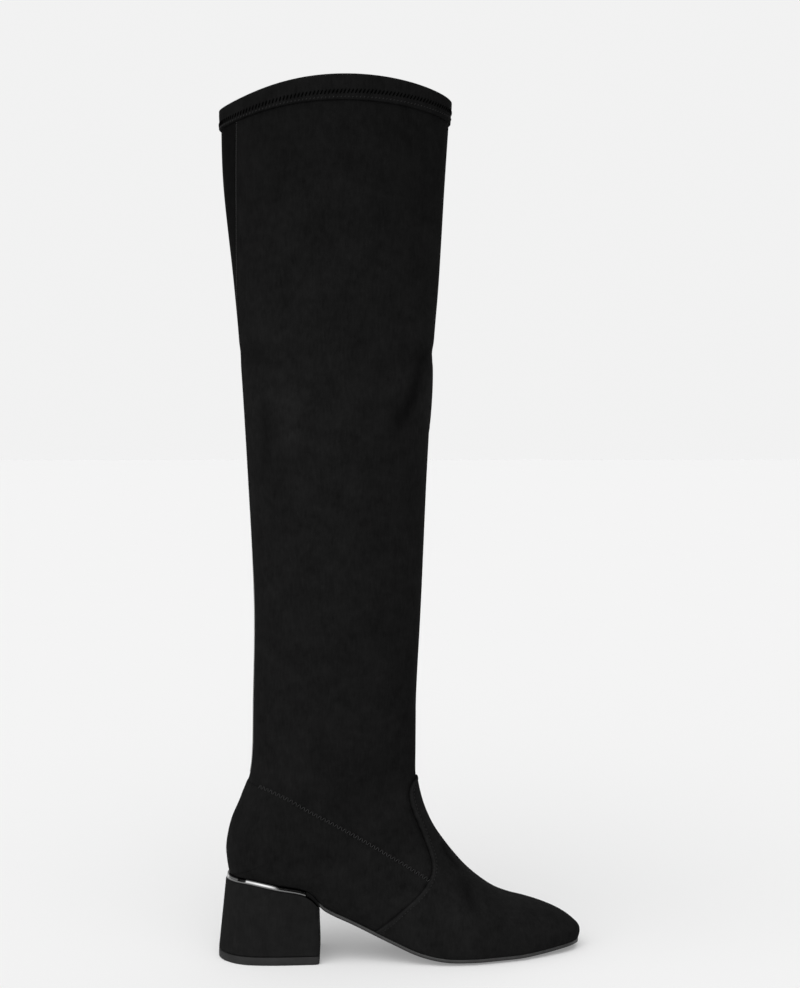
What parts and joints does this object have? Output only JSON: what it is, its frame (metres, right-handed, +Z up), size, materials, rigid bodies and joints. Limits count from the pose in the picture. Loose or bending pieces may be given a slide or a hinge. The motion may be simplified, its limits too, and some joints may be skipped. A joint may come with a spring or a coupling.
{
  "type": "tall boot",
  "caption": "Over-the-knee stretch suede boot for the right foot, with a rounded toe, a low covered block heel, a thin sole and a slim metal strip round the heel seat.",
  "frame": {"origin": "on the floor, at the middle of the heel's top lift", "axes": "+Z up the shaft, +X to the toe, +Y to the inner side of the foot"},
  "size_m": [0.2641, 0.101, 0.6306],
  "materials": {
    "suede": "matt black stretch suede",
    "insole": "matt lined board",
    "sole": "satin dark grey",
    "strip": "polished",
    "heel_cover": "matt black suede",
    "lift": "matt dark grey"
  },
  "bodies": {
    "root": {"upper": "suede", "quarter": "suede", "vamp": "suede", "hem": "suede", "insole": "insole", "outsole": "sole", "heel_strip": "strip", "heel_block": "heel_cover", "top_lift": "lift"}
  },
  "joints": []
}
